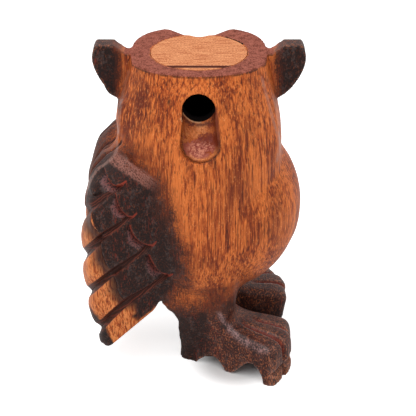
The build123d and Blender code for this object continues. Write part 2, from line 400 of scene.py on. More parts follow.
class Spots:
    # points in millimetres, taken apart for masks
    def __init__(self, points):
        self.x, self.y, self.z = points.T.copy()
        self.across = np.abs(self.y)
        self.beside = np.abs(self.x - whistle["boreX"])

    def zone(self, name):
        mask = np.ones(len(self.x))
        for coordinate, low, high in zones[name]:
            mask *= smooth(getattr(self, coordinate), low, high)
        return mask


class Block:
    # the owl's mesh as arrays in millimetres
    def __init__(self, piece):
        self.mesh = piece.data
        count = len(self.mesh.vertices)
        flat = np.empty(count * 3)
        self.mesh.vertices.foreach_get("co", flat)
        self.points = flat.reshape(-1, 3) * 1000
        ends = np.empty(len(self.mesh.edges) * 2, int)
        self.mesh.edges.foreach_get("vertices", ends)
        ends = ends.reshape(-1, 2)
        heads = np.concatenate([ends[:, 0], ends[:, 1]])
        tails = np.concatenate([ends[:, 1], ends[:, 0]])
        order = np.argsort(heads, kind="stable")
        self.tails = tails[order]
        self.counts = np.bincount(heads, minlength=count)[:, None]
        self.starts = np.concatenate([[0], np.cumsum(self.counts[:, 0])[:-1]])

    def store(self):
        self.mesh.vertices.foreach_set("co", (self.points / 1000).ravel())
        self.mesh.update()

    def normals(self):
        self.store()
        flat = np.empty(len(self.points) * 3)
        self.mesh.vertex_normals.foreach_get("vector", flat)
        return flat.reshape(-1, 3)

    def average(self, field):
        return np.add.reduceat(field[self.tails], self.starts, axis=0) / self.counts

    def relax(self, mask, rounds):
        for _ in range(rounds):
            self.points += (self.average(self.points) - self.points) * (0.5 * mask[:, None])

    def fillCreases(self, mask, rounds):
        # raises hollows only, so the round forms keep their size
        for turn in range(rounds):
            if turn % 10 == 0:
                normal = self.normals()
            pull = ((self.average(self.points) - self.points) * normal).sum(axis=1)
            self.points += normal * (0.8 * np.maximum(pull, 0.0) * mask)[:, None]

    def hollowness(self, rounds):
        # how far a point lies under its neighbours: positive in hollows, negative on edges
        pull = ((self.average(self.points) - self.points) * self.normals()).sum(axis=1)
        field = pull[:, None]
        for _ in range(rounds):
            field = 0.5 * field + 0.5 * self.average(field)
        return field[:, 0]

    def flatten(self, line, mask):
        # lays the points that face a cut and lie close to it in one plane, seen as a line on the flank
        eye = np.array(owl["sight"])
        first, last = (np.array([u, owl["flankY"], w]) for u, w in (line[1], line[-1]))
        down = np.cross(first - eye, last - eye)
        down *= -np.sign(down[2]) / np.linalg.norm(down)
        mirror = np.where(self.points[:, 1] > 0, -1.0, 1.0)[:, None] ** np.array([0, 1, 0])
        beyond = (self.points * mirror - eye) @ down
        facing = (self.normals() * mirror) @ down
        close = smooth(np.abs(beyond), *owl["cutReach"]) * smooth(facing, *owl["cutFacing"])
        move = beyond * mask * close
        self.points -= move[:, None] * down * mirror

    def flankChart(self):
        eye = owl["sight"]
        x, y, z = self.points.T
        share = (owl["flankY"] - eye[1]) / (-np.abs(y) - eye[1])
        return np.column_stack([eye[0] + (x - eye[0]) * share, eye[2] + (z - eye[2]) * share])


class Carving:
    # how far each point is raised, and its marks for the material
    def __init__(self, count):
        self.count = count
        self.rise = np.zeros(count)
        self.marks = {}

    def mark(self, name, amount, chosen=slice(None)):
        field = self.marks.setdefault(name, np.zeros(self.count))
        field[chosen] = np.maximum(field[chosen], amount)


def fineCopy():
    work = bmesh.new()
    work.from_mesh(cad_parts["owl_body"].data)
    bmesh.ops.remove_doubles(work, verts=work.verts, dist=1e-7)
    coarse = bpy.data.meshes.new("owlCoarse")
    work.to_mesh(coarse)
    work.free()
    piece = bpy.data.objects.new("owl", coarse)
    bpy.context.scene.collection.objects.link(piece)
    remesh = piece.modifiers.new("remesh", "REMESH")
    remesh.mode = "VOXEL"
    remesh.voxel_size = owl["voxel"] / 1000
    evaluated = piece.evaluated_get(bpy.context.evaluated_depsgraph_get())
    fine = bpy.data.meshes.new_from_object(evaluated)
    piece.modifiers.clear()
    piece.data = fine
    fine.name = "owl"
    bpy.data.meshes.remove(coarse)
    print("owl remeshed:", len(fine.vertices), "points")
    return piece


# How the hand carving strays from the plain block; the lists are height and shift along x
stray = {
    "legRear": [
        (0, -0.5), (5, -0.7), (9, -0.8), (13, 0.0), (17, 1.4),
        (20, 2.2), (25, 3.0), (28, 2.8), (31, 1.4), (35, 0.0),
    ],
    "backShoulder": [(64, 0.0), (70, 1.0), (76, 1.9), (81, 1.4), (88, 0.0)],
    "headSide": [(78, 0.0), (82, -1.0), (87, -1.3), (90, 0.0)],
    "farFootRise": 2.4,
    "farToesBack": 1.8,
    "rimThin": 1.1,
}


def strayFromBlock(block, start, inside):
    shift = np.zeros(len(start.x))
    for name in ("legRear", "backShoulder", "headSide"):
        shift += np.interp(start.z, *zip(*stray[name])) * start.zone(name)
    farFoot = start.zone("farFoot")
    shift -= stray["farToesBack"] * farFoot * start.zone("toes")
    block.points[:, 0] += shift * ~inside
    block.points[:, 1] += stray["rimThin"] * start.zone("rimBehind") * ~inside
    block.points[:, 2] += stray["farFootRise"] * farFoot * start.zone("overSole")


face = {
    "eyeX": 10.2,
    "eyeY": 19.9,
    "eyeZ": 86.0,
    "eyeTurn": 24.0,
    "frontY": 12.0,
    "pupilRadius": 3.6,
    "pupilMargin": 0.5,
    "pupilFloor": -2.5,
    "eyeRadius": 6.6,
    "ringHalf": 0.5,
    "discY": 10.0,
    "discInner": (7.4, 8.4),
    "discOuter": (12.5, 10.5),
    "fanCuts": 11,
    "fanDepth": 0.45,
    "fanWidth": 0.55,
}


def eyeFrame(points):
    # distance from the nearer eye's axis, angle round it and height along it
    best = np.full(len(points), np.inf)
    angle = np.zeros(len(points))
    height = np.zeros(len(points))
    for side in (-1, 1):
        turn = math.radians(face["eyeTurn"]) * side
        across = np.array([math.cos(turn), -math.sin(turn), 0.0])
        out = np.array([math.sin(turn), math.cos(turn), 0.0])
        middle = np.array([whistle["boreX"] + side * face["eyeX"], face["eyeY"], face["eyeZ"]])
        offset = points - middle
        u, v = offset @ across, offset[:, 2]
        away = np.hypot(u, v)
        nearer = away < best
        best = np.where(nearer, away, best)
        angle = np.where(nearer, np.arctan2(v, u), angle)
        height = np.where(nearer, offset @ out, height)
    return best, angle, height


def carveFace(carving, start, eyes):
    # facial disc: cuts that fan out round each eye
    away, angle, _ = eyes
    disc = smooth(away, *face["discInner"]) * smooth(away, *face["discOuter"])
    disc *= (start.y > face["discY"]) * start.zone("underTop")
    cuts = np.clip(1 - np.abs(np.sin(angle * face["fanCuts"])) / face["fanWidth"], 0, 1)
    carving.rise -= face["fanDepth"] * disc * cuts
    return disc


# One wing on the flank: lines of (x, z) from the shoulder down
wings = {
    "upperTips": [
        [(-24.3, 73.8), (-23.8, 71.1), (-22.8, 68.4), (-20.8, 67.7), (-18.7, 69.3)],
        [(-22.1, 66.5), (-21.6, 62.9), (-20.2, 59.6), (-17.8, 57.5), (-15.9, 58.9)],
        [(-18.1, 55.9), (-17.5, 52.6), (-15.5, 49.7), (-12.2, 48.1), (-10.5, 49.5)],
        [(-12.9, 45.9), (-11.9, 43.0), (-10.3, 40.1), (-7.4, 38.2), (-5.9, 38.6)],
    ],
    "middleTips": [
        [(-28.8, 60.5), (-28.8, 57.8), (-28.2, 54.9), (-26.9, 52.6), (-26.0, 52.3)],
        [(-26.8, 51.6), (-26.4, 49.2), (-26.3, 45.9), (-25.5, 42.5), (-24.0, 40.1), (-22.7, 39.6)],
        [(-23.4, 38.7), (-22.4, 35.7), (-22.2, 33.2), (-21.3, 31.0), (-19.6, 29.5), (-18.6, 29.5)],
    ],
    "gaps": [
        [(-20.8, 67.7), (-23.7, 65.4), (-26.9, 62.7), (-30.5, 59.8), (-34.0, 57.0)],
        [(-17.8, 57.5), (-22.3, 54.2), (-26.3, 51.2), (-31.1, 45.9), (-34.5, 42.0)],
        [(-12.2, 47.8), (-17.7, 43.8), (-22.9, 39.6), (-30.3, 33.2), (-34.0, 29.8)],
        [(-7.4, 38.2), (-13.8, 33.2), (-19.9, 28.7), (-27.2, 21.2), (-31.0, 17.2)],
    ],
    "tipEdge": [
        (-31.5, 62.0), (-28.8, 60.0), (-28.8, 57.8), (-28.2, 54.9), (-26.9, 52.6), (-26.4, 49.2),
        (-26.3, 45.9), (-25.5, 42.5), (-24.0, 40.1), (-22.4, 35.7), (-22.2, 33.2), (-21.3, 31.0),
        (-19.6, 29.5), (-15.7, 28.7), (-12.1, 28.7), (-3.0, 28.7),
    ],
    "darkTip": [(-31.0, 26.5), (-27.2, 20.2), (-23.7, 13.5), (-20.0, 6.0)],
    # the bevel along the wing's top, where a sheen is painted
    "bevelSheen": [(-22.9, 77.6), (-19.4, 74.6), (-15.9, 71.9), (-12.1, 68.9), (-8.4, 66.3)],
    "burnEdge": [
        (-40.0, 95.5), (-21.0, 78.6), (-14.8, 73.8), (-10.2, 68.2), (-8.6, 61.5), (-7.5, 54.9),
        (-4.8, 46.5), (-2.8, 39.5), (-3.6, 34.0), (-7.0, 29.5), (-29.0, 4.0),
    ],
    "edge": [
        (-40.0, 98.0), (-23.0, 80.5), (-15.5, 74.5), (-9.0, 68.0), (-2.0, 58.0),
        (2.5, 48.0), (1.0, 36.0), (-3.5, 27.0), (-28.0, 0.0),
    ],
    "lowerCut": [(2.0, 39.0), (-8.3, 29.4), (-25.1, 13.4), (-36.0, 3.0)],
    "crotchEdge": [
        (-9.5, 28.8), (-7.7, 29.8), (-2.9, 33.2), (4.0, 33.7), (8.1, 33.9), (12.0, 35.0), (16.0, 38.0),
    ],
    "edgeSoft": 3.0,
    "lowestZ": 3.0,
    "foremostX": 4.0,
    "feathersX": -2.0,
    "shoulderZ": 78.0,
    "cutClear": (0.4, 2.5),
    "gapDepth": 1.9,
    "gapHalf": 1.65,
    "scoopWidth": 2.9,
    "tipDepth": 1.8,
    "tipReach": 2.3,
    "middleShare": 0.6,  # the middle tips stand out less than the upper ones
    "backGrooves": (3.2, 11.5),
    "backGrooveHalf": 1.3,
    "backGrooveDepth": 1.1,
}


def wingMask(block, start, inside):
    inward = -signedGap(block.flankChart(), wings["edge"])
    within = (start.z > wings["lowestZ"]) & (start.x < wings["foremostX"]) & ~inside
    return smooth(inward, 0.0, wings["edgeSoft"]) * within


def smoothJoins(block, start, area):
    # the knife went over the joins, and some edges stay crisp
    cutGap, _, _ = measure(block.flankChart(), wings["lowerCut"])
    crisp = np.maximum(start.zone("chest"), start.zone("temples"))
    body = start.zone("trunk") * (1 - area.nearRamp) * (1 - area.ears) * (1 - start.zone("face"))
    body *= ~area.inside
    wingJoin = area.wing * (start.z < wings["shoulderZ"])
    block.fillCreases(np.maximum(body * (1 - crisp), wingJoin), owl["creaseRounds"])
    block.fillCreases(body * crisp, owl["crispRounds"])
    clearOfCut = smooth(cutGap, *wings["cutClear"])
    block.relax(area.wing * clearOfCut * start.zone("overTip"), owl["wingRounds"])
    feet = start.zone("feet")
    block.fillCreases(feet, owl["footRounds"])
    block.relax(feet * start.zone("insteps"), owl["instepRounds"])
    away, _, height = eyeFrame(block.points)
    pupil = (away < face["pupilRadius"] + face["pupilMargin"]) & (height > face["pupilFloor"])
    block.relax(pupil * (start.y > face["frontY"]) * 1.0, owl["pupilRounds"])
    block.relax(start.zone("notch") * ~area.inside, owl["notchRounds"])
    print("joins smoothed")


def carveWings(carving, block, start, area, normal):
    chosen = np.flatnonzero((area.wing > 0) & (start.x < wings["feathersX"]))
    chart = block.flankChart()[chosen]
    amount = (start.zone("wingRear") * area.wing)[chosen]
    rim = smooth(-normal[chosen, 0], 0.35, 0.85)
    carveGaps(carving, chosen, chart, amount, rim)
    for line in wings["upperTips"]:
        out, wall, share = carveTip(carving, chosen, chart, amount, line, 1.0)
        markScoop(carving, chosen, amount, out, wall, share)
    for line in wings["middleTips"]:
        out, wall, share = carveTip(carving, chosen, chart, amount, line, wings["middleShare"])
        # painted shade in a band beyond each middle tip, under its step
        shade = wall * smooth(out, 4.2, 1.2) * smooth(share, 0.0, 0.1)
        carving.mark("underTipShade", shade * amount, chosen)


def carveGaps(carving, chosen, chart, amount, rim):
    # grooves between the feathers, wider and deeper to the rim, with a rounded rim between them
    lift = np.zeros(len(chosen))
    nearest = np.full(len(chosen), np.inf)
    for line in wings["gaps"]:
        away, _, share = measure(chart, roundedLine(line))
        half = wings["gapHalf"] * (0.4 + 0.8 * share)
        groove = np.clip(1 - away / half, 0, 1)
        lift -= wings["gapDepth"] * (0.35 + 0.75 * share) * groove * (1 - 0.25 * rim)
        nearest = np.minimum(nearest, away)
        carving.mark("gap", smooth(groove, 0.0, 0.4) * amount, chosen)
        carving.mark("redLine", 0.4 * bell(away, half, 0.25) * amount, chosen)
    lift += rim * (0.35 + 0.65 * smooth(nearest, 0.8, 4.0))
    carving.rise[chosen] += lift * amount


def carveTip(carving, chosen, chart, amount, line, size):
    # a rounded feather end that stands over a hollow on the rim side
    away, side, share = measure(chart, roundedLine(line))
    out = -away * side
    wall = smooth(out, -0.2, 0.25)
    fall = np.clip(1 - np.maximum(out, 0) * size / wings["tipReach"], 0, 1)
    swell = 0.35 * np.exp(-np.abs(out) / 1.2) * (1 - wall)
    ends = smooth(share, 0.0, 0.2) * smooth(share, 0.92, 0.7)
    carving.rise[chosen] += size * (swell - wings["tipDepth"] * wall * fall) * ends * amount
    return out, wall, share


def markScoop(carving, chosen, amount, out, wall, share):
    stroke = 0.3 + 0.4 * bell(share, 0.8, 0.1)
    carving.mark("redLine", bell(out, -0.05, stroke) * smooth(share, 0.0, 0.1) * amount, chosen)
    # the scoop under each upper tip gets a grey painted highlight away from the tip, and red near it
    wide = wings["scoopWidth"] * smooth(share, 0.0, 0.5) * smooth(share, 0.84, 0.56) + 0.05
    grade = np.clip(out / wide, 0, 1)
    patch = wall * smooth(out, wide, 0.7 * wide) * (wide > 0.25) * amount
    carving.mark("scoopHighlight", patch * (0.25 + 0.75 * grade), chosen)
    carving.mark("scoopRed", patch * (1 - grade), chosen)


def carveBack(carving, start, normal):
    facing = smooth(-normal[:, 0], 0.3, 0.7) * start.zone("back")
    for place in wings["backGrooves"]:
        groove = np.clip(1 - np.abs(start.across - place) / wings["backGrooveHalf"], 0, 1) * facing
        carving.rise -= wings["backGrooveDepth"] * groove
        carving.mark("gap", smooth(groove, 0.2, 0.8))


foot = {
    # between the toes, (x, y) over the near foot from the leg to the front
    "toeGrooves": [
        [(13.0, -12.0), (16.5, -13.6), (22.0, -16.2), (27.8, -18.8), (32.0, -20.7)],
        [(17.0, -9.0), (22.0, -10.1), (28.4, -11.6), (34.0, -12.7)],
    ],
    "grooveHalf": 1.1,
    "grooveDepth": 1.2,
    # the ridge that catches the light, where a highlight is painted, (x, z) on the flank
    "ridge": [
        (7.3, 26.6), (8.5, 23.8), (10.0, 21.1), (12.1, 18.3),
        (14.7, 15.8), (17.8, 13.8), (20.8, 12.2), (24.3, 10.9),
    ],
}


def carveToes(carving, block, start, normal):
    plan = np.column_stack([block.points[:, 0], -np.abs(block.points[:, 1])])
    facing = smooth(normal[:, 2] + normal[:, 0], 0.2, 0.6) * start.zone("toeTops") * (start.z < 24)
    for line in foot["toeGrooves"]:
        away, _, share = measure(plan, roundedLine(line))
        groove = np.clip(1 - away / foot["grooveHalf"], 0, 1) * smooth(share, 0.0, 0.3) * facing
        carving.rise -= foot["grooveDepth"] * groove
        carving.mark("toeLine", smooth(groove, 0.1, 0.7))


def carveKnifeMarks(carving, block, start, area):
    points = block.points
    knife = softNoise(points, 5.0, 3) - 0.5 + 0.5 * (softNoise(points, 2.2, 4) - 0.5)
    carving.rise += owl["knifeDepth"] * knife * start.zone("outside") * ~area.inside
    chart = block.flankChart()
    gouged = smooth(signedGap(chart, whistle["rampOutline"]), 0.0, 1.0) * smooth(chart[:, 1], 87.0, 84.0)
    gouged *= (start.y < whistle["behindY"]) * area.nearRamp
    carving.rise += whistle["gougeDepth"] * (softNoise(points, 1.5, 5) - 0.5) * gouged


# Patches of colour on the flank: x, z, half width, half height, strength
patches = {
    "dusk": [
        (-13.6, 93.0, 3.0, 10.0, 1.2), (-17.5, 88.0, 2.2, 10.0, 1.0), (12.5, 66.5, 4.0, 12.0, 0.7),
        (-9.5, 86.0, 2.5, 12.0, 0.35), (15.5, 84.0, 3.0, 8.0, 0.6), (-13.5, 78.0, 6.0, 4.0, 0.7),
        (9.0, 94.0, 2.2, 6.0, 0.5), (-12.5, 72.0, 5.0, 5.0, 0.6), (16.5, 56.0, 5.0, 12.0, 0.4),
        (24.0, 60.0, 3.0, 14.0, 0.6), (2.0, 42.0, 8.0, 4.0, 0.5), (7.0, 33.0, 7.0, 4.5, 0.8),
        (14.0, 38.0, 6.0, 4.0, 0.6),
    ],
    "bright": [
        (-2.0, 64.5, 5.5, 10.0, 0.8), (20.5, 58.0, 3.0, 5.0, 0.6),
        (-7.5, 80.5, 4.0, 5.0, 0.5), (16.0, 94.0, 3.5, 9.0, 0.6),
    ],
    "stain": [(-6.2, 93.8, 0.9, 1.6, 1.0)],
    "rampFlame": [(2.7, 85.6, 1.5, 2.4, 1.0), (-1.7, 83.5, 1.2, 3.0, 0.5), (1.0, 84.0, 1.5, 2.0, 0.6)],
    "rampWine": [(5.3, 82.3, 3.6, 2.4, 1.1), (0.0, 86.8, 1.2, 1.3, 0.8), (5.4, 87.0, 1.6, 1.6, 0.75)],
    # the pink patches are a painted sheen on the ramp's lower part
    "rampPinkSheen": [(1.6, 79.2, 4.2, 3.4, 1.0), (4.3, 80.0, 3.2, 2.4, 0.9)],
}


def finished(block, normal):
    # the carved points with what the marks need: place on the flank, facing and an uneven edge
    end = Spots(block.points)
    end.chart = block.flankChart()
    end.u, end.w = end.chart.T
    end.normal = normal
    lumps = softNoise(block.points, 6.0, 11) - 0.5
    end.waver = lumps + 0.6 * (softNoise(block.points, 1.6, 12) - 0.5)
    return end


def patchField(end, name):
    field = np.zeros(len(end.x))
    for u, w, wide, high, strength in patches[name]:
        spread = ((end.u - u) / wide) ** 2 + ((end.w - w) / high) ** 2
        field = np.maximum(field, strength * np.exp(-spread))
    return field * (end.y < 0)


def paleTips(end, area):
    # feather ends that were left unburnt, with a thin pale line along the lower cut
    pale = smooth(-signedGap(end.chart, wings["tipEdge"]), -0.1, 0.5) * smooth(end.w, 63.0, 56.0)
    pale *= smooth(signedGap(end.chart, wings["darkTip"]) + 1.5 * end.waver, -0.5, 1.8)
    cutGap, _, _ = measure(end.chart, wings["lowerCut"])
    alongCut = 0.7 * smooth(cutGap + 0.8 * end.waver, 1.3, 0.4)
    pale *= np.maximum(smooth(end.u + 3.0 * end.waver, -14.0, -20.0), alongCut)
    return pale * area.wing * end.zone("flank")


burns = {
    # where bare wood turns to full burn, and how far that edge wanders
    "wing": (-8.0, 4.5),
    "wingWander": 3.5,
    "leg": (37.0, 18.0),
    "legWander": 4.0,
    "legSlope": 0.12,  # higher to the front
    "ear": (20.0, 25.5),
    "earWander": 2.0,
    # strength of the smaller burns
    "middleBack": 0.26,  # lighter by this
    "beak": 0.85,
    "eyes": 0.9,
    "disc": 0.35,
    # the crotch strength is a painted shade under the belly, not a burn
    "crotchShade": 0.42,
    "beakTop": 87.0,
    "eyeFront": 2.0,
    "pupilEdge": 0.35,
    "crotchX": 3.0,
    "crotchReach": (12.5, 10.0),
    "crotchY": 4.0,
}


def markBurns(carving, end, area, eyes, disc):
    pale = paleTips(end, area)
    carving.mark("pale", pale)
    middleBack = smooth(-end.normal[:, 0], 0.3, 0.7) * end.zone("middleBack")
    inward = burns["wingWander"] * end.waver - signedGap(end.chart, wings["burnEdge"])
    wing = smooth(inward, *burns["wing"]) * end.zone("flank") * (1 - burns["middleBack"] * middleBack)
    carving.mark("burnAndShade", wing * (1 - pale))
    height = end.z + burns["legWander"] * end.waver - burns["legSlope"] * (end.x - 5)
    carving.mark("burnAndShade", smooth(height, *burns["leg"]))
    reach = end.beside + burns["earWander"] * end.waver
    carving.mark("burnAndShade", smooth(reach, *burns["ear"]) * end.zone("earTips"))
    carving.mark("burnAndShade", burns["beak"] * end.zone("beak") * (end.z < burns["beakTop"]))
    away, _, out = eyes
    eye = away < face["pupilRadius"] + burns["pupilEdge"]
    eye |= np.abs(away - face["eyeRadius"]) < face["ringHalf"]
    carving.mark("burnAndShade", burns["eyes"] * eye * (end.y > face["frontY"]) * (out < burns["eyeFront"]))
    carving.mark("burnAndShade", burns["disc"] * disc)
    # painted shade: a dark edge under the belly, over the legs, laid into the burn mark
    bellyShade = smooth(signedGap(end.chart, wings["crotchEdge"]) + 0.5 * end.waver, 0.3, -0.3)
    bellyShade *= smooth(np.abs(end.u - burns["crotchX"]), *burns["crotchReach"]) * end.zone("overLegs")
    carving.mark("burnAndShade", burns["crotchShade"] * bellyShade * (end.across > burns["crotchY"]))


def markWhistle(carving, end, area):
    depth = owl["headTop"] - end.z
    sawn = (depth < whistle["sawnDepth"]) & (end.beside < whistle["sawnHalf"])
    carving.mark("top", sawn & ~area.inside)
    # the bore below its mouth is painted black as painted shade; a thin crack beside the plug is black too
    turn = np.degrees(np.arctan2(end.y, end.x - whistle["boreX"]))
    crack = np.abs(turn - whistle["crackTurn"]) < whistle["crackHalf"]
    crack &= np.abs(area.fromBore - whistle["boreRadius"]) < whistle["crackWidth"]
    crack &= depth < whistle["crackDepth"]
    carving.mark("shadedHole", crack | (area.inside & (depth > whistle["mouthDepth"])))

    # painted shade: the window's opening, and a strip under its lower edge, are black
    below = whistle["windowZ"] - end.z
    height = np.where(below > 0, whistle["windowDroop"], 1.0) * below
    fromWindow = np.hypot(end.x - whistle["boreX"], height) - whistle["windowRadius"]
    blackened = whistle["lipBlack"] * smooth(below, 0.5, 3.0) - 0.05
    through = smooth(blackened - fromWindow, -0.4, 0.4)
    carving.mark("shadedHole", through * (end.y < whistle["behindY"]) * (end.y > whistle["outermostY"]))
    markRamp(carving, end, below, fromWindow)


def markRamp(carving, end, below, fromWindow):
    gap, side, _ = measure(end.chart, whistle["rampOutline"])
    within = gap * side
    middle = whistle["boreX"]
    behind = (end.y < whistle["behindY"]) & (end.beside < whistle["rampHalf"])
    inRamp = smooth(within, -0.2, 0.5) * smooth(end.w, 89.0, 87.5) * behind
    # painted shade along the ramp's walls, stronger on the right
    wall = smooth(within, -0.2, 0.2) * smooth(gap, 2.2, 0.7) * smooth(end.w, 77.0, 81.0)
    wall *= np.where(end.x > middle, 1.0, 0.4)
    # painted highlight: a thin pale line along the left of the window's lower edge
    lipHighlight = bell(fromWindow, 0.5, 0.2) * smooth(below, 0.5, 2.0) * smooth(end.x, middle + 2.0, middle)
    # painted shadow: a dark band just under the lip
    underLipShadow = bell(fromWindow, 1.05, 0.4) * smooth(within, 0.0, 0.4) * (below > 0)
    # painted highlight on a facet at the ramp's lower end
    facetHighlight = bell(within, 0.85, 0.4) * smooth(end.w, 81.0, 79.0) * smooth(end.u, -1.5, 0.5)
    carving.mark("inRamp", inRamp)
    carving.mark("rampWallShade", wall * behind)
    carving.mark("lipHighlight", lipHighlight * behind)
    carving.mark("underLipShadow", underLipShadow * behind)
    carving.mark("facetHighlight", facetHighlight * behind)
    carving.mark("rampLine", bell(gap, 0.0, 0.36) * smooth(end.w, 86.0, 80.0) * behind)
    carving.mark("stain", patchField(end, "stain") * (end.y < whistle["behindY"]))
    for name in ("rampFlame", "rampWine", "rampPinkSheen"):
        carving.mark(name, patchField(end, name) * inRamp)


def markFeet(carving, end, area):
    # the burnt feet are reddish and worn at the toes; a highlight is painted on the near foot's ridge,
    # painted shade darkens the far foot's inner side, and up-facing ear tops are painted reddish as painted
    # light
    carving.mark("footRed", smooth(end.u + 1.5 * end.waver, 3.0, 7.0) * end.zone("footSide"))
    # painted light: up-facing ear tops take the reddish foot colour
    carving.mark("footRed", 0.7 * area.ears * smooth(end.normal[:, 2], 0.35, 0.7))
    gap, _, share = measure(end.chart, roundedLine(foot["ridge"]))
    shine = bell(gap, 0.0, 0.6 + 0.9 * share) * fadeEnds(share, 0.15, 0.85)
    carving.mark("shine", shine * (end.y < 0) * (end.z < 30))
    # painted shade: the far foot's inner side, turned away under the belly, darkens toward black
    carving.mark("farFootShade", (end.y > 0) * smooth(-end.normal[:, 1], 0.2, 0.6) * end.zone("footLow"))
    wornToe = smooth(end.x + 3.0 * end.waver, 21.0, 26.0) * smooth(end.z + 3.0 * end.waver, 6.5, 2.0)
    carving.mark("wornToe", 0.45 * wornToe)


def markWear(carving, end, area, hollow):
    for name in ("dusk", "bright"):
        carving.mark(name, patchField(end, name))
    # painted highlight: pale lines along the head's ridges and the back shoulder
    for line in owl["ridges"]:
        gap, _, share = measure(end.chart, roundedLine(line))
        ridge = bell(gap, 0.0, owl["ridgeHalf"]) * fadeEnds(share, 0.1, 0.9)
        carving.mark("ridge", ridge * (end.y < 2) * (end.beside > 12))
    # painted sheen on the up-facing bevel along the wing's top
    gap, _, share = measure(end.chart, roundedLine(wings["bevelSheen"]))
    carving.mark("bevelSheen", smooth(gap, 2.5, 1.3) * fadeEnds(share, 0.08, 0.55) * (end.x < wings["feathersX"]))
    # convex edges: real wear, and a painted highlight along them
    wear = smooth(-hollow, 0.012, 0.06) * (1 - 0.85 * area.wing * end.zone("offRim"))
    carving.mark("edgeWearAndSheen", wear * (1 - area.nearRamp) * (1 - 0.6 * area.ears) * ~area.inside)
    # painted shade: hollows and creases are darkened
    carving.mark("creaseShade", smooth(hollow, 0.012, 0.06) * (1 - 0.5 * area.nearRamp) * ~area.inside)


def carveOwl():
    piece = fineCopy()
    block = Block(piece)
    start = Spots(block.points)
    fromBore = np.hypot(start.x - whistle["boreX"], start.y)
    inside = fromBore < whistle["boreRadius"] + whistle["wallMargin"]
    inside &= start.z > whistle["chamberFloor"] - whistle["floorMargin"]
    strayFromBlock(block, start, inside)
    area = SimpleNamespace(fromBore=fromBore, inside=inside, wing=wingMask(block, start, inside))
    area.nearRamp = start.zone("nearRamp")
    area.ears = start.zone("ears")
    smoothJoins(block, start, area)

    normal = block.normals()
    eyes = eyeFrame(block.points)
    carving = Carving(len(normal))
    carveWings(carving, block, start, area, normal)
    carveBack(carving, start, normal)
    carveToes(carving, block, start, normal)
    disc = carveFace(carving, start, eyes)
    carveKnifeMarks(carving, block, start, area)
    block.points += normal * carving.rise[:, None]
    block.flatten(wings["lowerCut"], (area.wing > 0.3) * start.zone("lowerCut"))
    block.store()
    print("feathers carved")

    end = finished(block, normal)
    markBurns(carving, end, area, eyes, disc)
    markWhistle(carving, end, area)
    markFeet(carving, end, area)
    markWear(carving, end, area, block.hollowness(2))
    for name, field in carving.marks.items():
        layer = piece.data.attributes.new(name, "FLOAT", "POINT")
        layer.data.foreach_set("value", np.asarray(field, np.float32))
    piece.data.polygons.foreach_set("use_smooth", np.ones(len(piece.data.polygons), bool))
    piece.data.update()
    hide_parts("owl_body")
    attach(piece, "root")
    print("owl carved")
    return piece


carvedWood = {
    "colors": {
        "amber": (0.72, 0.182, 0.038),
        "honey": (0.41, 0.074, 0.014),
        "flame": (0.86, 0.32, 0.105),
        "umber": (0.145, 0.022, 0.0068),
        "pore": (0.045, 0.010, 0.0045),
        "charcoal": (0.017, 0.009, 0.008),
        # grey on the charcoal, partly a painted sheen
        "ashAndSheen": (0.085, 0.056, 0.052),
        # scorched wood, also the colour of the painted shadow under the window's lip
        "scorchAndShade": (0.10, 0.022, 0.010),
        "redEdge": (0.24, 0.032, 0.017),
        # grey of the painted highlight in the scoops
        "scoopHighlightGrey": (0.22, 0.125, 0.130),
        "paleTip": (0.76, 0.245, 0.070),
        "endGrain": (0.41, 0.125, 0.085),
        "endGrainDark": (0.13, 0.028, 0.015),
        # pinkish grey of the painted sheen on the wing's bevel
        "bevelSheenPink": (0.30, 0.120, 0.090),
        "grooveRed": (0.16, 0.034, 0.020),
        "groove": (0.030, 0.009, 0.006),
        # pale worn colour, also the colour of painted highlights on edges and ridges
        "wornAndSheen": (0.30, 0.13, 0.09),
        "rampBrown": (0.40, 0.088, 0.014),
        "rampRed": (0.15, 0.015, 0.006),
        # pink of the painted sheen and pale of the painted highlights on the ramp
        "rampPinkSheen": (0.33, 0.070, 0.046),
        "rampHighlight": (0.74, 0.29, 0.17),
        # cream of the painted highlight on the window's lip
        "cream": (0.66, 0.36, 0.18),
        # dark of the painted shade on the ramp's walls
        "rampWallShade": (0.15, 0.026, 0.010),
        "footBrown": (0.085, 0.023, 0.015),
        "toeRed": (0.30, 0.040, 0.022),
        "fleck": (0.42, 0.13, 0.05),
        # shine: grey-violet of the painted highlight on the near foot's ridge
        "shine": (0.32, 0.18, 0.175),
        # near-black for painted shade: the far foot's inner side, the bore and the window
        "shadeBlack": (0.003, 0.002, 0.002),
    },
    # metres across and along the grain, detail, roughness
    "grain": {
        "bands": (0.0055, 0.09, 2.0, 0.55),
        "lines": (0.00060, 0.032, 2.0, 0.60),
        "strands": (0.0013, 0.075, 1.0, 0.5),
        "fine": (0.00042, 0.0036, 2.0, 0.65),
        "hair": (0.00042, 0.022, 1.0, 0.5),
        "pores": (0.00040, 0.0021, 1.0, 0.5),
        "figure": (0.0020, 0.0050, 3.0, 0.65),
        "specks": (0.00045, 0.0006, 2.0, 0.6),
        "torn": (0.0008, 0.0010, 3.0, 0.7),
        "dots": (0.00036, 0.00036, 2.0, 0.7),
    },
    "grooveStreaks": (1500.0, 0.0, -1600.0),  # streaks per metre
    "bevelStrokes": (1700.0, 0.0, 2150.0),
    "rimShade": (0.09895, 0.0993),  # heights in metres
    "sawnTop": (0.09955, 0.0997),
    "bumpStrength": 0.45,
    "bumpDepth": 0.0003,
    "coatRoughness": 0.3,
    "specular": 0.13,
}


